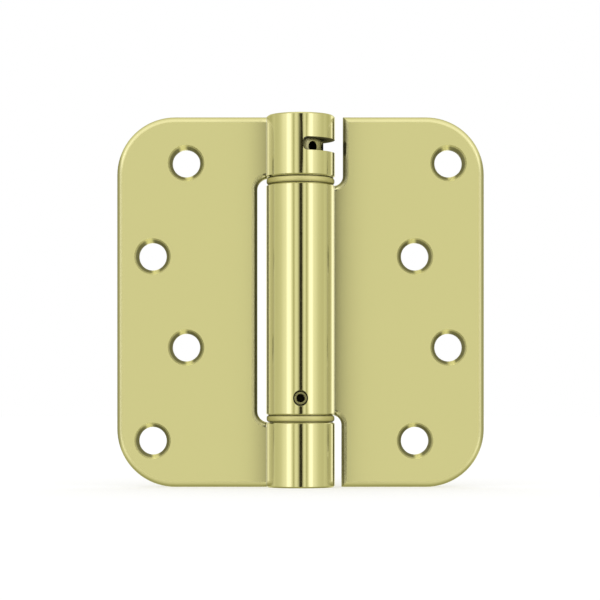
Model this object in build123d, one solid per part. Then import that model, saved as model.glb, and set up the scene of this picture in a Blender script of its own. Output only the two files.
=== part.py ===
from build123d import *
import os
from math import acos, atan2, cos, degrees, hypot, radians, sin, sqrt

os.makedirs("parts", exist_ok=True)

# A spring hinge opened flat. The pin axis is +Z with its lower end at the origin.
# The leaves' front faces, with the countersinks, look along -Y. All sizes are in mm.

# Leaves: two rolled sheets
leaf_height = 101.6
leaf_reach = 50.4
sheet_thickness = 3.05
closed_gap = 1.6
corner_radius = 15.9
front_edge_round = 1.5
rim_chamfer = 0.4

# Rolled barrel
bore_radius = 6.35
swage_radius = 1.3
seam_gap = 0.15
bottom_knuckle_length = 17.8
top_knuckle_length = 16.9
window_edge = 11.9
window_corner_radius = 3.0
upper_notch_edge = 11.65
lower_notch_edge = 11.25
notch_corner_radius = 2.7

# Screw holes, in a zig-zag mirrored between the leaves
screw_hole_radius = 3.8
countersink_radius = 5.0
countersink_angle = 82
inner_hole_reach = 31.4
outer_hole_reach = 40.6
end_hole_offset = 38.1
middle_hole_offset = 12.5

# Bearings between the knuckles
flange_thickness = 1.9
flange_radius = 9.3
flange_edge_round = 0.8
sleeve_length = 2.2
journal_radius = 4.95
journal_clearance = 0.05
axial_play = 0.05
press_gap = 0.04

# Tension adjuster and its slot
collar_clearance = 0.10
slot_height = 3.65
slot_centre_height = 8.5
slot_front_angle = 4.0
slot_rear_angle = 150.0
slot_corner_radius = 1.2
tension_hole_count = 8
tension_hole_radius = 1.3
tension_hole_depth = 2.3
tension_hole_angle = 32.5
tension_hole_height = 8.05
tension_hole_chamfer = 0.2
stem_reach = 4.0
pilot_length = 3.0

# Pivot rod, its clip and the end caps
rod_radius = 2.0
rod_clearance = 0.10
head_radius = 3.4
head_thickness = 1.2
head_clearance = 0.2
clip_thickness = 0.6
clip_radius = 3.3
clip_seat_depth = 0.4
clip_opening = 2.6
clip_play = 0.1
rod_tip = 0.8
cap_thickness = 2.4
cap_recess = 0.5
cap_chamfer = 0.4
stack_gap = 0.3

# Spring, anchor and anchor pin
wire_depth = 2.2
wire_height = 3.0
coil_gap = 0.3
spring_clearance = 0.45
seat_gap = 0.2
tang_width = 2.4
tang_length = 3.6
tang_clearance = 0.1
tang_angle = 90.0
anchor_length = 8.0
anchor_pin_radius = 1.7
anchor_pin_bore = 1.15
anchor_pin_offset = 4.6
anchor_pin_depth = 6.4
anchor_pin_recess = 0.25
anchor_pin_clearance = 0.05
anchor_hole_chamfer = 0.5

# How near two positions lie to count as one
match = 0.01

# A solid that stands centred on its origin
upright = (Align.CENTER, Align.CENTER, Align.MIN)

# Worked out from the sizes above
front_face = closed_gap / 2
back_face = front_face + sheet_thickness
barrel_radius = bore_radius + sheet_thickness
bend_y = back_face + swage_radius
bend_x = sqrt((barrel_radius + swage_radius) ** 2 - bend_y**2)
bearing_bore = journal_radius + journal_clearance
plug_radius = bore_radius - press_gap
rod_bore = rod_radius + rod_clearance

lower_joint = bottom_knuckle_length
upper_joint = leaf_height - top_knuckle_length
centre_bottom = lower_joint + axial_play + flange_thickness
centre_top = upper_joint - axial_play - flange_thickness

slot_height_centre = upper_joint + slot_centre_height
tension_hole_centre = upper_joint + tension_hole_height
stem_bottom = centre_top - sleeve_length - stem_reach

anchor_bottom = centre_bottom + sleeve_length + stack_gap
anchor_top = anchor_bottom + anchor_length
anchor_pin_height = centre_bottom + anchor_pin_offset

spring_radius = bore_radius - spring_clearance - wire_depth / 2
spring_bottom = anchor_top + seat_gap + wire_height / 2
spring_top = stem_bottom - seat_gap - wire_height / 2
spring_pitch = wire_height + coil_gap
spring_turns = (spring_top - spring_bottom) / spring_pitch
pilot_radius = spring_radius - wire_depth / 2 - seat_gap
tang_seat_radius = spring_radius - wire_depth / 2 - tang_clearance
tang_half_angle = degrees(tang_width / 2 / spring_radius)
wire_start_angle = tang_angle + tang_half_angle
upper_tang_angle = wire_start_angle - 360 * spring_turns + tang_half_angle

head_bottom = cap_recess + cap_thickness + stack_gap
top_cap_bottom = leaf_height - cap_recess - cap_thickness
rod_top = top_cap_bottom - stack_gap
clip_bottom = rod_top - rod_tip - clip_thickness
collar_top = clip_bottom - clip_play


def on_circle(radius, angle):
    """Point of the XY plane at a radius and an angle in degrees from +X."""
    return (radius * cos(radians(angle)), radius * sin(radians(angle)))


def disc(radius, bottom, top):
    """Solid cylinder about the pin axis between two heights."""
    return Pos(0, 0, bottom) * Cylinder(radius, top - bottom, align=upright)


def radial_frame(angle, radius, height):
    """Frame on the pin axis side of a wall, its Z pointing out along the angle."""
    x, y = on_circle(radius, angle)
    outward = (cos(radians(angle)), sin(radians(angle)), 0)
    return Plane(origin=(x, y, height), x_dir=(0, 0, 1), z_dir=outward).location


def rolled_section():
    """Right leaf seen along the pin: flat sheet, swage bend and rolled barrel."""
    bend_angle = degrees(atan2(bend_y, bend_x))
    bend_reach = hypot(bend_x, bend_y)
    inner_bend = swage_radius + sheet_thickness
    clear_bend = inner_bend + seam_gap
    tip_turn = degrees(
        acos((barrel_radius**2 + bend_reach**2 - clear_bend**2) / (2 * barrel_radius * bend_reach))
    )
    tip_angle = bend_angle - tip_turn
    wrap = 360 - tip_turn
    swing_back = 90 - bend_angle
    outer_roll = CenterArc((0, 0), barrel_radius, bend_angle, wrap)
    inner_roll = CenterArc((0, 0), bore_radius, bend_angle, wrap)
    back_bend = CenterArc((bend_x, bend_y), swage_radius, 180 + bend_angle, swing_back)
    front_bend = CenterArc((bend_x, bend_y), inner_bend, 180 + bend_angle, swing_back)
    edge_front = (leaf_reach, front_face)
    edge_back = (leaf_reach, back_face)
    outline = [
        Line((bend_x, front_face), edge_front),
        Line(edge_front, edge_back),
        Line(edge_back, (bend_x, back_face)),
        back_bend,
        outer_roll,
        Line(on_circle(barrel_radius, tip_angle), on_circle(bore_radius, tip_angle)),
        inner_roll,
        front_bend,
    ]
    return make_face(Curve() + outline)


def knuckle_gap(edge, radius, bottom, top):
    """Cut from the barrel out to a leaf's edge, with two rounded inner corners."""
    beyond = leaf_height
    width = edge + beyond
    block = Pos(edge - width / 2, 0, (bottom + top) / 2) * Box(width, beyond, top - bottom)
    corners = block.edges().filter_by(Axis.Y).group_by(Axis.X)[-1]
    return fillet(corners, radius)


def face_rim(leaf, height):
    """Outline edges of the flat face at one Y, without the line where the bend starts."""
    flats = leaf.faces().filter_by(Plane.XZ)
    face = flats.filter_by_position(Axis.Y, height - match, height + match).sort_by(SortBy.AREA)[-1]
    bend_lines = face.edges().filter_by(Axis.Z).filter_by_position(Axis.X, 0, bend_x + match)
    return face.edges() - bend_lines


def on_outer_bends(point):
    """Whether a point lies on the outside of the barrel or of the swage bend."""
    from_pin = hypot(point.X, point.Y) - barrel_radius
    from_bend = hypot(point.X - bend_x, point.Y - bend_y) - swage_radius
    return min(abs(from_pin), abs(from_bend)) < match


def knuckle_rim(leaf):
    """Outer edges of the knuckles' ends, round the barrel and the swage bend."""
    crossing = leaf.edges().filter_by(lambda edge: abs(edge.tangent_at(0.5).Z) < 0.9)
    return crossing.filter_by(lambda edge: all(on_outer_bends(edge @ t) for t in (0, 0.5, 1)))


def rounded_leaf(gaps):
    """Right leaf cut from the rolled sheet, its gaps open and its corners and rims rounded."""
    leaf = extrude(rolled_section(), leaf_height)
    for gap in gaps:
        leaf = leaf - gap
    corners = leaf.edges().filter_by(Axis.Y).group_by(Axis.X)[-1]
    leaf = fillet(corners, corner_radius)
    leaf = fillet(face_rim(leaf, front_face), front_edge_round)
    return chamfer(knuckle_rim(leaf) + face_rim(leaf, back_face), rim_chamfer)


def screw_holes(reaches):
    """Four countersunk screw holes, given their reaches from the lowest up."""
    offsets = (-end_hole_offset, -middle_hole_offset, middle_hole_offset, end_hole_offset)
    tool = CounterSinkHole(
        screw_hole_radius, countersink_radius, 2 * sheet_thickness, countersink_angle
    )
    places = [
        Pos(reach, front_face, leaf_height / 2 + offset) * Rot(90, 0, 0)
        for reach, offset in zip(reaches, offsets)
    ]
    return [place * tool for place in places]


def adjuster_slot():
    """Slot round the top knuckle, from just right of the front to the rear."""
    depth = 2 * sheet_thickness
    profile = Pos(bore_radius + sheet_thickness / 2, 0, slot_height_centre) * (
        Plane.XZ * Rectangle(depth, slot_height)
    )
    sector = revolve(profile, Axis.Z, slot_rear_angle - slot_front_angle)
    ends = [
        edge
        for edge in sector.edges().filter_by(GeomType.LINE)
        if abs(edge.length - depth) < match
    ]
    return Rot(0, 0, slot_front_angle - 90) * fillet(ends, slot_corner_radius)


def make_fixed_leaf():
    """Left leaf: rolled sheet with the two end knuckles and the adjuster slot."""
    window = knuckle_gap(window_edge, window_corner_radius, lower_joint, upper_joint)
    leaf = mirror(rounded_leaf([window]), Plane.YZ)
    reaches = (outer_hole_reach, inner_hole_reach, outer_hole_reach, inner_hole_reach)
    for hole in screw_holes([-reach for reach in reaches]):
        leaf = leaf - hole
    return leaf - adjuster_slot()


def make_swing_leaf():
    """Right leaf: rolled sheet with the centre knuckle and the anchor pin's hole."""
    notches = [
        knuckle_gap(upper_notch_edge, notch_corner_radius, centre_top, centre_top + leaf_height),
        knuckle_gap(
            lower_notch_edge, notch_corner_radius, centre_bottom - leaf_height, centre_bottom
        ),
    ]
    leaf = rounded_leaf(notches)
    reaches = (inner_hole_reach, outer_hole_reach, inner_hole_reach, outer_hole_reach)
    for hole in screw_holes(reaches):
        leaf = leaf - hole
    drill_radius = anchor_pin_radius + anchor_pin_clearance
    drill = radial_frame(-90, bore_radius / 2, anchor_pin_height) * Cylinder(
        drill_radius, barrel_radius, align=upright
    )
    rim = radial_frame(-90, barrel_radius - anchor_hole_chamfer, anchor_pin_height) * Cone(
        drill_radius,
        drill_radius + 2 * anchor_hole_chamfer,
        2 * anchor_hole_chamfer,
        align=upright,
    )
    return leaf - drill - rim


def make_bearing(flange_bottom, sleeve_direction):
    """Flanged bush: a rounded ring between two knuckles and a sleeve in the centre one."""
    flange_top = flange_bottom + flange_thickness
    flange = disc(flange_radius, flange_bottom, flange_top)
    rims = flange.edges().filter_by(GeomType.CIRCLE)
    flange = fillet(rims, flange_edge_round)
    if sleeve_direction > 0:
        sleeve = disc(plug_radius, flange_top, flange_top + sleeve_length)
    else:
        sleeve = disc(plug_radius, flange_bottom - sleeve_length, flange_bottom)
    return flange + sleeve - disc(bearing_bore, 0, leaf_height)


def make_tension_adjuster():
    """Turned collar with radial holes, a stem, a pilot for the spring and a tang notch."""
    collar_radius = bore_radius - collar_clearance
    collar = disc(collar_radius, upper_joint, collar_top)
    stem = disc(journal_radius, stem_bottom, upper_joint)
    pilot = disc(pilot_radius, stem_bottom - pilot_length, stem_bottom)
    body = collar + stem + pilot - disc(rod_bore, 0, leaf_height)
    hole_base = collar_radius - tension_hole_depth
    rim_base = collar_radius - tension_hole_chamfer
    rim_depth = 2 * tension_hole_chamfer
    hole = Cylinder(tension_hole_radius, 2 * tension_hole_depth, align=upright)
    rim = Cone(tension_hole_radius, tension_hole_radius + rim_depth, rim_depth, align=upright)
    for index in range(tension_hole_count):
        angle = tension_hole_angle - 90 + index * 360 / tension_hole_count
        body = body - radial_frame(angle, hole_base, tension_hole_centre) * hole
        body = body - radial_frame(angle, rim_base, tension_hole_centre) * rim
    return body - tang_notch(upper_tang_angle, stem_bottom, tang_length + seat_gap)


def tang_notch(angle, base, length):
    """Open-sided notch that takes one of the spring's end tangs, up from a base height."""
    reach = bore_radius
    width = tang_width + 2 * tang_clearance
    block = Box(reach, width, length, align=(Align.MIN, Align.CENTER, Align.MIN))
    return Rot(0, 0, angle) * Pos(tang_seat_radius, 0, base) * block


def make_spring_anchor():
    """Plug pinned in the centre knuckle, with a pilot and a notch for the lower tang."""
    body = disc(plug_radius, anchor_bottom, anchor_top)
    body = body + disc(pilot_radius, anchor_top, anchor_top + pilot_length)
    body = body - disc(rod_bore, 0, leaf_height)
    hole = Cylinder(anchor_pin_radius + anchor_pin_clearance, barrel_radius, align=upright)
    inner_end = barrel_radius - anchor_pin_recess - anchor_pin_depth - anchor_pin_clearance
    body = body - radial_frame(-90, inner_end, anchor_pin_height) * hole
    notch_length = tang_length + seat_gap
    return body - tang_notch(tang_angle, anchor_top - notch_length, notch_length)


def make_anchor_pin():
    """Tubular pin through the centre knuckle's front wall into the spring anchor."""
    inner_end = barrel_radius - anchor_pin_recess - anchor_pin_depth
    place = radial_frame(-90, inner_end, anchor_pin_height)
    shell = Cylinder(anchor_pin_radius, anchor_pin_depth, align=upright)
    return place * (shell - Cylinder(anchor_pin_bore, anchor_pin_depth, align=upright))


def make_torsion_spring():
    """Left-hand coil of rectangular wire with an axial tang at each end."""
    path = Helix(spring_pitch, spring_top - spring_bottom, spring_radius, lefthand=True)
    start = Plane(origin=path @ 0, x_dir=(1, 0, 0), z_dir=path % 0)
    coil = sweep(start * Rectangle(wire_depth, wire_height), path=path, is_frenet=True)
    coil = Pos(0, 0, spring_bottom) * Rot(0, 0, wire_start_angle) * coil
    reach = tang_length + wire_height
    tang = Box(wire_depth, tang_width, reach, align=upright)
    lower_end = spring_bottom + wire_height / 2 - reach
    upper_end = spring_top - wire_height / 2
    lower = Rot(0, 0, tang_angle) * Pos(spring_radius, 0, lower_end) * tang
    upper = Rot(0, 0, upper_tang_angle) * Pos(spring_radius, 0, upper_end) * tang
    return coil + lower + upper


def make_lower_pivot():
    """Plug pressed in the bottom knuckle, with the journal for the lower bearing."""
    bottom = cap_recess + cap_thickness + stack_gap / 2
    top = centre_bottom + sleeve_length
    body = disc(plug_radius, bottom, lower_joint) + disc(journal_radius, lower_joint, top)
    seat = disc(head_radius + head_clearance, bottom, head_bottom + head_thickness)
    return body - disc(rod_radius + press_gap, 0, leaf_height) - seat


def make_pivot_rod():
    """Headed rod through the whole barrel, grooved near its top for the clip."""
    head = disc(head_radius, head_bottom, head_bottom + head_thickness)
    shank = disc(rod_radius, head_bottom + head_thickness, rod_top)
    groove = disc(rod_radius + rod_clearance, clip_bottom, clip_bottom + clip_thickness)
    groove = groove - disc(rod_radius - clip_seat_depth, 0, leaf_height)
    return head + shank - groove


def make_rod_clip():
    """Open ring snapped in the rod's groove over the adjuster."""
    top = clip_bottom + clip_thickness
    ring = disc(clip_radius, clip_bottom, top) - disc(rod_radius - clip_seat_depth, 0, leaf_height)
    mouth = Box(clip_opening, clip_radius, leaf_height, align=(Align.CENTER, Align.MIN, Align.MIN))
    return ring - mouth


def make_cap(bottom, outer_end):
    """Disc that closes one end of the barrel, chamfered round its outer face."""
    cap = disc(plug_radius, bottom, bottom + cap_thickness)
    rims = cap.edges().filter_by(GeomType.CIRCLE).sort_by(Axis.Z)
    return chamfer(rims[outer_end], cap_chamfer)


nodes = {
    "fixed_leaf": make_fixed_leaf(),
    "swing_leaf": make_swing_leaf(),
    "lower_bearing": make_bearing(centre_bottom - flange_thickness, 1),
    "upper_bearing": make_bearing(centre_top, -1),
    "tension_adjuster": make_tension_adjuster(),
    "torsion_spring": make_torsion_spring(),
    "spring_anchor": make_spring_anchor(),
    "anchor_pin": make_anchor_pin(),
    "lower_pivot": make_lower_pivot(),
    "pivot_rod": make_pivot_rod(),
    "rod_clip": make_rod_clip(),
    "bottom_cap": make_cap(cap_recess, 0),
    "top_cap": make_cap(top_cap_bottom, -1),
}

for name, shape in nodes.items():
    export_step(shape, f"parts/{name}.step")
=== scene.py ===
"""Looks of a spring hinge that stands opened flat: polished brass-coloured plate in a white studio."""

import math

import bpy
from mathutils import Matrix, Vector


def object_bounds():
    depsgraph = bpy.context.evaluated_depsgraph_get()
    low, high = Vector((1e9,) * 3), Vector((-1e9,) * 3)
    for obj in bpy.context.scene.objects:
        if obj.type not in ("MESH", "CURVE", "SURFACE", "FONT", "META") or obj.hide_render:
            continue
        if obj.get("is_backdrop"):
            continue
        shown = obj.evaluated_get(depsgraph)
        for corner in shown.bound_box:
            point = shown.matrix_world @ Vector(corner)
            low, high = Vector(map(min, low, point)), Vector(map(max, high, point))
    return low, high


MM = 0.001

# Camera: level, on the pin axis, a little below the middle, with its frame shifted up to the middle
CAMERA_PLACE = (-0.15 * MM, -580.2 * MM, 22.0 * MM)
CAMERA_LENS = 127.06
CAMERA_SENSOR = 36.0
CAMERA_SHIFT = 0.1781

# Linear colours
PLATE_COLOUR = (0.624, 0.591, 0.254)
TURNED_COLOUR = (0.610, 0.570, 0.235)
RING_COLOUR = (0.60, 0.56, 0.22)
STEEL_COLOUR = (0.52, 0.50, 0.46)
# What the metals reflect at a glancing angle
EDGE_TINT = (0.95, 0.93, 0.74)
RING_TINT = (0.02, 0.02, 0.01)

# The studio's light by direction. Azimuth 0 is towards the camera and +90 to its right.
# Each band is its centre and half width in degrees, the softness of its edge, and what it adds.
MIRRORED_BANDS = (
    (13.5, 2.5, 4.0, 0.18),
    (20.5, 2.0, 4.0, -0.40),
    (34.5, 7.0, 8.0, 0.65),
    (44.0, 10.0, 22.0, 0.25),
    (100.0, 36.0, 34.0, -0.20),
    (89.0, 3.0, 8.0, 0.10),
    (106.5, 5.0, 10.0, -0.10),
)
RIGHT_BANDS = ((131.5, 7.0, 14.0, 0.80),)
# The bands on the left lie this much further round than on the right
LEFT_SPREAD = 1.12

# The bands fade out between these upward or downward parts of a direction
UPRIGHT_FADE = (0.2, 0.6)

# Brightness in reflections by the angle up from the camera's side: 90 is overhead, 180 behind
RISE_LEVELS = (
    (-180, 1.0),
    (-150, 0.8),
    (-124, 0.42),
    (-82, 0.55),
    (-50, 0.80),
    (-23, 0.96),
    (-10, 1.0),
    (8, 1.0),
    (18, 1.3),
    (40, 1.5),
    (62, 1.3),
    (90, 1.2),
    (130, 0.75),
    (160, 0.9),
    (180, 1.0),
)
# The rise stops counting between these sideways parts of a direction
SIDEWAYS_FADE = (0.75, 1.0)

# What is dim is warmer, a second reflection keeps more green and blue, a third sees a dimmer room
WARMTH = 0.42
SECOND_BOUNCE = 1.12
SECOND_GREEN = 1.05
SECOND_BLUE = 2.1
THIRD_BOUNCE = 0.6
# The strip that the leaf throws on the right of the barrel
SECOND_RIGHT_BAND = (44.0, 9.0, 16.0, 1.0)

# Dark card in front of the barrel, seen only in reflections: how clear it is by millimetres across
CARD_COLOUR = (0.012, 0.008, 0.0)
CARD_DISTANCE = 105.0 * MM
CARD_CLEAR_SHARES = (
    (-17.0, 1.0),
    (-12.6, 0.75),
    (-8.5, 0.4),
    (-5.0, 0.14),
    (-2.0, 0.0),
    (11.0, 0.0),
    (11.5, 0.66),
    (12.4, 0.79),
    (14.2, 0.78),
    (15.0, 0.83),
    (16.3, 0.9),
    (18.0, 0.95),
    (21.0, 1.0),
)
CARD_BELOW = 30.0 * MM
CARD_ABOVE = 30.0 * MM

# A face is square to an axis where its normal lies at least this much along it
SQUARE_FACING = 0.9

# The leaves' rounded rims are duller than their faces: share of the normal that faces front.
# All reaches of the leaves are distances from the pin axis, across.
LEAF_START = 10.3 * MM
RIM_FACING = (0.99998, 0.9996)
RIM_ROUGHNESS = 0.33
# The rims near the barrel are duller still, up to these reaches
INNER_RIM_ROUGHNESS = 0.42
INNER_RIMS = (17.0 * MM, 24.0 * MM)
# The outermost rims get painted shade too
SIDE_START = 48.7 * MM
SIDE_FULL = 50.0 * MM
SIDE_SHADE_TONE = 0.62

# Painted shade on the rims of the window and the notches: where it starts, by the share of the
# normal that faces front and by reach
SHADED_RIM_FACING = (0.05, 0.15)
SHADED_RIM_START = (10.2 * MM, 13.5 * MM)
# The open shares of the room between which it thins out, on the left leaf and on the right
LEFT_RIM_NOOKS = (0.5, 0.76)
RIGHT_RIM_NOOKS = (0.6, 0.86)
SHADED_RIM_ROUGHNESS = 0.15

# Countersinks: places of the screw holes, and the painted tones: painted shade on the cones, a painted
# highlight on their lips and two painted highlight streaks. The streaks turn a little from the
# upright, and fade out between these distances from their middle.
INNER_REACH = 31.4 * MM
OUTER_REACH = 40.6 * MM
HOLE_MIDDLE = 50.8 * MM
HOLE_OFFSETS = (-38.1 * MM, -12.5 * MM, 12.5 * MM, 38.1 * MM)
SINK_RADIUS = 5.05 * MM
SINK_LIP = (4.4 * MM, 4.75 * MM)
SINK_SHADE_TONE = 0.5
LIP_HIGHLIGHT_TONE = 1.15
HIGHLIGHT_STREAK_TONE = 1.6
HIGHLIGHT_STREAK_TURN = math.radians(11.5)
HIGHLIGHT_STREAK_WIDTH = (0.4 * MM, 1.5 * MM)

# Painted shade on the bevel round the anchor pin
PIN_HEIGHT = 24.35 * MM
PIN_BEVEL_RADIUS = 2.4 * MM
PIN_SHADE_TONE = 0.5

# The sawn upper face of the adjuster's slot: painted shade and a duller gloss
SLOT_TOP = 95.025 * MM
SLOT_MATCH = 0.05 * MM
SLOT_SHADE_TONE = 0.4
SLOT_ROUGHNESS = 0.7

# Painted shade in nooks: how far around the open share of the room is searched for
NOOK_REACH = 14.0 * MM

# The cloudiness of the tone and of the gloss, in features to a metre
CLOUD_SCALE = 60.0
GLOSS_SCALE = 180.0

# Grains: features to a metre, how each axis is scaled, and their depth in metres
PLATE_GRAIN = (900.0, (1.0, 1.0, 0.08), 0.2e-6)
CAP_GRAIN = (900.0, (1.0, 1.0, 1.0), 1e-6)
TURNING_GRAIN = (1500.0, (0.05, 0.05, 1.0), 1e-6)

# Finishes: colour, range of roughness, cloudiness of the tone, grain, painted nook shade and edge
# tint.
# The painted nook shade is given by the open shares of the room where it is full and where it ends,
# and its tone.
FINISHES = {
    "brass_plate": (PLATE_COLOUR, (0.09, 0.13), 0.008, PLATE_GRAIN, (0.15, 0.38, 0.3), EDGE_TINT),
    "turned_brass": (TURNED_COLOUR, (0.2, 0.28), 0.02, TURNING_GRAIN, (0.3, 0.65, 0.04), EDGE_TINT),
    "ring_brass": (RING_COLOUR, (0.5, 0.6), 0.02, TURNING_GRAIN, (0.4, 0.95, 0.6), RING_TINT),
    "cap_plate": (PLATE_COLOUR, (0.18, 0.26), 0.02, CAP_GRAIN, (0.2, 0.4, 0.1), EDGE_TINT),
    "spring_steel": (STEEL_COLOUR, (0.25, 0.38), 0.03, TURNING_GRAIN, (0.1, 0.3, 0.06), EDGE_TINT),
}
# The finish of each of the record's material slots, and of the bearings
SLOT_FINISHES = {
    "leaf_plate": "brass_plate",
    "turned_brass": "turned_brass",
    "cap_plate": "cap_plate",
    "spring_steel": "spring_steel",
}
BEARING_FINISH = "ring_brass"
LEAF_FINISH = "brass_plate"

# Floor: it glows a little, so that it is as white as the room with light to spare for a shadow
FLOOR_SIZE = 8.0
FLOOR_SHADE = 0.62
FLOOR_GLOW = 0.42


def new_tree(owner):
    """Empty node tree of a material or the world."""
    owner.use_nodes = True
    owner.node_tree.nodes.clear()
    return owner.node_tree


def add(tree, kind, **settings):
    """New node with its plain settings."""
    node = tree.nodes.new(kind)
    for name, value in settings.items():
        setattr(node, name, value)
    return node


def feed(tree, socket, value):
    """Sets a socket to a number or colour, or links another socket to it."""
    if isinstance(value, bpy.types.NodeSocket):
        tree.links.new(value, socket)
    else:
        socket.default_value = value


def maths(tree, operation, *values):
    """Result of a Math node on numbers or sockets."""
    node = add(tree, "ShaderNodeMath", operation=operation)
    for socket, value in zip(node.inputs, values):
        feed(tree, socket, value)
    return node.outputs[0]


def ramp(tree, value, stops):
    """Level that follows a value along a smooth curve through (position, level) stops."""
    node = add(tree, "ShaderNodeFloatCurve")
    curve = node.mapping.curves[0]
    curve.points[0].location = stops[0]
    curve.points[1].location = stops[-1]
    for stop in stops[1:-1]:
        curve.points.new(*stop)
    for point in curve.points:
        point.handle_type = "AUTO_CLAMPED"
    node.mapping.update()
    feed(tree, node.inputs["Value"], value)
    return node.outputs[0]


def noise(tree, place, scale, detail=3.0, roughness=0.5):
    """Noise about 0.5 at a place, its scale in features to a metre."""
    node = add(tree, "ShaderNodeTexNoise")
    feed(tree, node.inputs["Vector"], place)
    node.inputs["Scale"].default_value = scale
    node.inputs["Detail"].default_value = detail
    node.inputs["Roughness"].default_value = roughness
    return node.outputs["Fac"]


def between(tree, value, low, high):
    """Value of 0 to 1 stretched to run from low to high."""
    node = add(tree, "ShaderNodeMapRange")
    feed(tree, node.inputs["Value"], value)
    node.inputs["To Min"].default_value = low
    node.inputs["To Max"].default_value = high
    return node.outputs[0]


def stretched(tree, place, scale):
    """Object place with each axis scaled, to draw a grain out along one of them."""
    node = add(tree, "ShaderNodeMapping")
    feed(tree, node.inputs["Vector"], place)
    node.inputs["Scale"].default_value = scale
    return node.outputs[0]


def fade(tree, value, start, end, low, high):
    """Level that turns smoothly from low to high as a value goes from start to end."""
    node = add(tree, "ShaderNodeMapRange", interpolation_type="SMOOTHSTEP")
    settings = (value, start, end, low, high)
    for socket, setting in zip(node.inputs, settings):
        feed(tree, socket, setting)
    return node.outputs[0]


def blend(tree, factor, start, end):
    """Value that goes from start to end with a factor."""
    node = add(tree, "ShaderNodeMix", data_type="FLOAT")
    feed(tree, node.inputs["Factor"], factor)
    feed(tree, node.inputs[2], start)
    feed(tree, node.inputs[3], end)
    return node.outputs[0]


def nook_shade(tree, start, end, tone):
    """Painted shade: tone that falls between two open shares of the room in sight, as in gaps and
    bores.
    """
    node = add(tree, "ShaderNodeAmbientOcclusion", samples=8)
    node.inputs["Distance"].default_value = NOOK_REACH
    return fade(tree, node.outputs["AO"], start, end, tone, 1.0)


def metal(name, colour, roughness, tone, grain, painted_shade, edge_tint):
    """Polished metal: cloudy tone and gloss, fine grain, and painted shade in nooks."""
    material = bpy.data.materials.new(name)
    tree = new_tree(material)
    coordinates = add(tree, "ShaderNodeTexCoord")
    place = coordinates.outputs["Object"]
    shader = add(tree, "ShaderNodeBsdfPrincipled")
    shader.inputs["Metallic"].default_value = 1.0

    cloud = between(tree, noise(tree, place, CLOUD_SCALE), 1 - tone, 1 + tone)
    # Painted shade: the cloudy tone is darkened where nooks hide the room
    shade = maths(tree, "MULTIPLY", cloud, nook_shade(tree, *painted_shade))
    grain_scale, grain_stretch, grain_depth = grain
    lines = noise(tree, stretched(tree, place, grain_stretch), grain_scale, 4.0, 0.6)
    patches = noise(tree, place, GLOSS_SCALE, 4.0)
    gloss = maths(tree, "MULTIPLY", maths(tree, "ADD", lines, patches), 0.5)
    gloss = between(tree, gloss, *roughness)
    if name == LEAF_FINISH:
        shade, gloss = leaf_details(tree, coordinates, shade, gloss)

    # The painted shade darkens the base colour and the glancing edge tint alike
    feed(tree, shader.inputs["Base Color"], shaded(tree, colour, shade))
    feed(tree, shader.inputs["Specular Tint"], shaded(tree, edge_tint, shade))
    feed(tree, shader.inputs["Roughness"], gloss)
    bump = add(tree, "ShaderNodeBump")
    bump.inputs["Strength"].default_value = 1.0
    bump.inputs["Distance"].default_value = grain_depth
    feed(tree, bump.inputs["Height"], lines)
    feed(tree, shader.inputs["Normal"], bump.outputs[0])

    output = add(tree, "ShaderNodeOutputMaterial")
    feed(tree, output.inputs["Surface"], shader.outputs[0])
    return material


def countersinks(tree, across, up):
    """Where the countersinks are, and their painted tone: painted shade on the cone, with a painted
    highlight on the lip and two painted highlight streaks.
    """
    nearest = 1.0
    highlight_streaks = 0.0
    for index, offset in enumerate(HOLE_OFFSETS):
        reaches = (-OUTER_REACH, INNER_REACH) if index % 2 == 0 else (-INNER_REACH, OUTER_REACH)
        for reach in reaches:
            aside = maths(tree, "SUBTRACT", across, reach)
            above = maths(tree, "SUBTRACT", up, HOLE_MIDDLE + offset)
            squares = maths(tree, "MULTIPLY_ADD", aside, aside, maths(tree, "MULTIPLY", above, above))
            distance = maths(tree, "SQRT", squares)
            nearest = maths(tree, "MINIMUM", distance, nearest)
            lean = maths(tree, "MULTIPLY", above, math.sin(HIGHLIGHT_STREAK_TURN))
            off_highlight_streak = maths(tree, "MULTIPLY_ADD", aside, math.cos(HIGHLIGHT_STREAK_TURN), lean)
            highlight_streak = fade(tree, maths(tree, "ABSOLUTE", off_highlight_streak), *HIGHLIGHT_STREAK_WIDTH, 1.0, 0.0)
            here = maths(tree, "LESS_THAN", distance, SINK_RADIUS)
            highlight_streaks = maths(tree, "MULTIPLY_ADD", highlight_streak, here, highlight_streaks)
    cone = fade(tree, nearest, *SINK_LIP, SINK_SHADE_TONE, LIP_HIGHLIGHT_TONE)
    tone = blend(tree, highlight_streaks, cone, HIGHLIGHT_STREAK_TONE)
    return maths(tree, "LESS_THAN", nearest, SINK_RADIUS), tone


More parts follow.
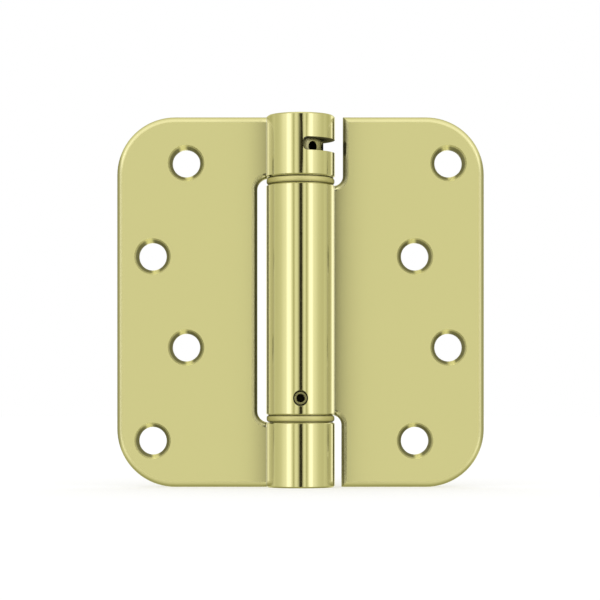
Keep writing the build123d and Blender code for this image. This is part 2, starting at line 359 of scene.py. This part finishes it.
def leaf_details(tree, coordinates, shade, gloss):
    """Gloss of a leaf's rims and slot, painted shade on its rims, countersinks, pin bevel and slot,
    and painted highlights in the countersinks.
    """
    place = add(tree, "ShaderNodeSeparateXYZ")
    feed(tree, place.inputs[0], coordinates.outputs["Object"])
    across, _, up = place.outputs
    facing = add(tree, "ShaderNodeSeparateXYZ")
    feed(tree, facing.inputs[0], coordinates.outputs["Normal"])
    front = maths(tree, "ABSOLUTE", facing.outputs["Y"])
    level = maths(tree, "ABSOLUTE", facing.outputs["Z"])
    out = maths(tree, "ABSOLUTE", across)

    on_leaf = fade(tree, out, LEAF_START - MM / 2, LEAF_START + MM / 2, 0.0, 1.0)
    rim = maths(tree, "MULTIPLY", on_leaf, fade(tree, front, *reversed(RIM_FACING), 1.0, 0.0))
    rim_gloss = fade(tree, out, *INNER_RIMS, INNER_RIM_ROUGHNESS, RIM_ROUGHNESS)
    gloss = blend(tree, rim, gloss, rim_gloss)
    # Painted shade on the outermost rims
    side = blend(tree, fade(tree, out, SIDE_START, SIDE_FULL, 0.0, 1.0), 1.0, SIDE_SHADE_TONE)

    near_hole, sink_tone = countersinks(tree, across, up)
    # Painted shade and painted highlights of the countersinks
    sink = blend(tree, maths(tree, "MULTIPLY", near_hole, rim), 1.0, sink_tone)
    # Painted shade on the rims of the window and the notches, thinning out where more of the room is
    # open
    shaded_rim = maths(tree, "MULTIPLY", rim, maths(tree, "SUBTRACT", 1.0, near_hole))
    shaded_rim = maths(tree, "MULTIPLY", shaded_rim, fade(tree, front, *SHADED_RIM_FACING, 0.0, 1.0))
    shaded_rim = maths(tree, "MULTIPLY", shaded_rim, fade(tree, out, *SHADED_RIM_START, 0.0, 1.0))
    on_right = maths(tree, "GREATER_THAN", across, 0.0)
    shares = [blend(tree, on_right, *pair) for pair in zip(LEFT_RIM_NOOKS, RIGHT_RIM_NOOKS)]
    painted_shade = blend(tree, shaded_rim, 1.0, nook_shade(tree, *shares, 0.0))
    gloss = blend(tree, painted_shade, SHADED_RIM_ROUGHNESS, gloss)

    # Painted shade on the bevel round the anchor pin
    from_pin = maths(tree, "SUBTRACT", up, PIN_HEIGHT)
    squares = maths(tree, "MULTIPLY_ADD", across, across, maths(tree, "MULTIPLY", from_pin, from_pin))
    at_bevel = maths(tree, "LESS_THAN", squares, PIN_BEVEL_RADIUS**2)
    at_bevel = maths(tree, "MULTIPLY", at_bevel, maths(tree, "LESS_THAN", front, SQUARE_FACING))
    bevel = blend(tree, at_bevel, 1.0, PIN_SHADE_TONE)

    # Painted shade and duller gloss on the slot's upper face
    at_slot = maths(tree, "COMPARE", up, SLOT_TOP, SLOT_MATCH)
    at_slot = maths(tree, "MULTIPLY", at_slot, maths(tree, "GREATER_THAN", level, SQUARE_FACING))
    slot = blend(tree, at_slot, 1.0, SLOT_SHADE_TONE)
    gloss = blend(tree, at_slot, gloss, SLOT_ROUGHNESS)
    # All the painted shade and highlights are multiplied into the tone
    for factor in (side, sink, painted_shade, bevel, slot):
        shade = maths(tree, "MULTIPLY", shade, factor)
    return shade, gloss


def shaded(tree, colour, shade):
    """Colour brought down towards black by a shade."""
    node = add(tree, "ShaderNodeMix", data_type="RGBA")
    node.clamp_factor = False
    feed(tree, node.inputs["Factor"], shade)
    feed(tree, node.inputs[6], (0.0, 0.0, 0.0, 1.0))
    feed(tree, node.inputs[7], colour + (1.0,))
    return node.outputs[2]


def band(tree, azimuth, centre, half_width, softness, level):
    """Level that a vertical band of the studio adds at an azimuth."""
    away = maths(tree, "ABSOLUTE", maths(tree, "SUBTRACT", azimuth, centre))
    return fade(tree, away, half_width - softness / 2, half_width + softness / 2, level, 0.0)


def room_level(tree, second):
    """Brightness of the room that reflections see, by direction and for second reflections."""
    split = add(tree, "ShaderNodeSeparateXYZ")
    feed(tree, split.inputs[0], add(tree, "ShaderNodeTexCoord").outputs["Generated"])
    right, back, up = split.outputs
    front = maths(tree, "MULTIPLY", back, -1.0)

    azimuth = maths(tree, "DEGREES", maths(tree, "ARCTAN2", right, front))
    mirrored = maths(tree, "MULTIPLY", azimuth, -1 / LEFT_SPREAD)
    either_side = maths(tree, "MAXIMUM", azimuth, mirrored)
    strips = 0.0
    for settings in MIRRORED_BANDS:
        strips = maths(tree, "ADD", band(tree, either_side, *settings), strips)
    for settings in RIGHT_BANDS:
        strips = maths(tree, "ADD", band(tree, azimuth, *settings), strips)
    thrown = maths(tree, "MULTIPLY", band(tree, azimuth, *SECOND_RIGHT_BAND), second)
    strips = maths(tree, "ADD", strips, thrown)
    upright = fade(tree, maths(tree, "ABSOLUTE", up), *UPRIGHT_FADE, 1.0, 0.0)
    sides = maths(tree, "MULTIPLY_ADD", strips, upright, 1.0)

    angle = maths(tree, "DEGREES", maths(tree, "ARCTAN2", up, front))
    highest = max(level for _, level in RISE_LEVELS)
    stops = [(degrees / 360 + 0.5, level / highest) for degrees, level in RISE_LEVELS]
    around = maths(tree, "MULTIPLY_ADD", angle, 1 / 360, 0.5)
    rise = maths(tree, "MULTIPLY", ramp(tree, around, stops), highest)
    sideways = maths(tree, "ABSOLUTE", right)
    steep = fade(tree, sideways, *SIDEWAYS_FADE, 1.0, 0.0)
    level_rise = maths(tree, "MULTIPLY_ADD", maths(tree, "SUBTRACT", rise, 1.0), steep, 1.0)
    return maths(tree, "MULTIPLY", sides, level_rise)


def make_studio():
    """World: plain white, and in reflections a white room with soft strips of light."""
    world = bpy.data.worlds.new("studio")
    bpy.context.scene.world = world
    tree = new_tree(world)
    path = add(tree, "ShaderNodeLightPath")
    second = maths(tree, "GREATER_THAN", path.outputs["Glossy Depth"], 1.5)
    third = maths(tree, "GREATER_THAN", path.outputs["Glossy Depth"], 2.5)
    second_level = blend(tree, second, 1.0, SECOND_BOUNCE)
    third_level = blend(tree, third, 1.0, THIRD_BOUNCE)
    bounced = maths(tree, "MULTIPLY", second_level, third_level)
    room = maths(tree, "MULTIPLY", room_level(tree, second), bounced)
    level = blend(tree, path.outputs["Is Glossy Ray"], 1.0, room)

    colour = add(tree, "ShaderNodeCombineColor")
    colour.inputs["Red"].default_value = 1.0
    feed(tree, colour.inputs["Green"], blend(tree, second, 1.0, SECOND_GREEN))
    bluer = blend(tree, second, 1.0, SECOND_BLUE)
    warm = maths(tree, "POWER", level, WARMTH)
    feed(tree, colour.inputs["Blue"], maths(tree, "MULTIPLY", warm, bluer))
    background = add(tree, "ShaderNodeBackground")
    feed(tree, background.inputs["Color"], colour.outputs[0])
    feed(tree, background.inputs["Strength"], level)
    output = add(tree, "ShaderNodeOutputWorld")
    feed(tree, output.inputs["Surface"], background.outputs[0])


def plane(name, corners, material):
    """Flat four-sided stage piece."""
    mesh = bpy.data.meshes.new(name)
    mesh.from_pydata(corners, [], [(0, 1, 2, 3)])
    mesh.materials.append(material)
    piece = bpy.data.objects.new(name, mesh)
    bpy.context.scene.collection.objects.link(piece)
    piece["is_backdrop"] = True
    return piece


def make_floor():
    """Pale floor under the hinge that keeps its soft contact shadow."""
    material = bpy.data.materials.new("floor")
    tree = new_tree(material)
    matt = add(tree, "ShaderNodeBsdfDiffuse")
    matt.inputs["Color"].default_value = (FLOOR_SHADE, FLOOR_SHADE, FLOOR_SHADE, 1.0)
    glow = add(tree, "ShaderNodeEmission")
    glow.inputs["Strength"].default_value = FLOOR_GLOW
    both = add(tree, "ShaderNodeAddShader")
    feed(tree, both.inputs[0], matt.outputs[0])
    feed(tree, both.inputs[1], glow.outputs[0])
    output = add(tree, "ShaderNodeOutputMaterial")
    feed(tree, output.inputs["Surface"], both.outputs[0])
    half = FLOOR_SIZE / 2
    corners = [(-half, -half, 0), (half, -half, 0), (half, half, 0), (-half, half, 0)]
    floor = plane("floor", corners, material)
    floor.visible_glossy = False
    floor.visible_shadow = False


def make_card():
    """Dark upright card that puts the black line down the middle of the barrel."""
    material = bpy.data.materials.new("card")
    tree = new_tree(material)
    dark = add(tree, "ShaderNodeEmission")
    dark.inputs["Color"].default_value = CARD_COLOUR + (1.0,)
    clear = add(tree, "ShaderNodeBsdfTransparent")
    split = add(tree, "ShaderNodeSeparateXYZ")
    feed(tree, split.inputs[0], add(tree, "ShaderNodeTexCoord").outputs["Object"])
    left, right = CARD_CLEAR_SHARES[0][0] * MM, CARD_CLEAR_SHARES[-1][0] * MM
    width = right - left
    along = maths(tree, "MULTIPLY_ADD", split.outputs["X"], 1 / width, -left / width)
    stops = [((across * MM - left) / width, share) for across, share in CARD_CLEAR_SHARES]
    both = add(tree, "ShaderNodeMixShader")
    feed(tree, both.inputs[0], ramp(tree, along, stops))
    feed(tree, both.inputs[1], dark.outputs[0])
    feed(tree, both.inputs[2], clear.outputs[0])
    output = add(tree, "ShaderNodeOutputMaterial")
    feed(tree, output.inputs["Surface"], both.outputs[0])
    low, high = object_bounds()
    bottom, top = low.z - CARD_BELOW, high.z + CARD_ABOVE
    corners = [
        (left, -CARD_DISTANCE, bottom),
        (right, -CARD_DISTANCE, bottom),
        (right, -CARD_DISTANCE, top),
        (left, -CARD_DISTANCE, top),
    ]
    card = plane("card", corners, material)
    for rays in ("camera", "diffuse", "shadow", "transmission", "volume_scatter"):
        setattr(card, "visible_" + rays, False)


def make_camera():
    """Camera at the photograph's place, level and square to the leaves."""
    data = bpy.data.cameras.new("camera")
    data.lens = CAMERA_LENS
    data.sensor_width = CAMERA_SENSOR
    data.shift_y = CAMERA_SHIFT
    data.clip_start = 10 * MM
    camera = bpy.data.objects.new("camera", data)
    camera.location = CAMERA_PLACE
    camera.rotation_euler = (math.radians(90), 0, 0)
    bpy.context.scene.collection.objects.link(camera)
    bpy.context.scene.camera = camera


def finish_nodes(nodes):
    """Gives each CAD node the finish of its material slot, and the bearings their own."""
    metals = {name: metal(name, *settings) for name, settings in FINISHES.items()}
    for name, node in nodes.items():
        for place in node.material_slots:
            slot = place.material.name.split(".")[0]
            finish = BEARING_FINISH if name.endswith("bearing") else SLOT_FINISHES[slot]
            place.material = metals[finish]


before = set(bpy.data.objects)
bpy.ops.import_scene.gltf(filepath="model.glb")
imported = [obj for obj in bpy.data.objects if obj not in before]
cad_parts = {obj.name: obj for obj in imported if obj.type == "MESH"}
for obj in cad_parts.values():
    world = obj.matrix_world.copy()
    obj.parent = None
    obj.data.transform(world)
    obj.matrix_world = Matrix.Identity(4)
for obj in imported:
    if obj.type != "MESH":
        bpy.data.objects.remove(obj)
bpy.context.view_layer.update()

bpy.context.scene.view_settings.view_transform = "Standard"
make_studio()
make_floor()
make_card()
make_camera()
finish_nodes(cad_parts)
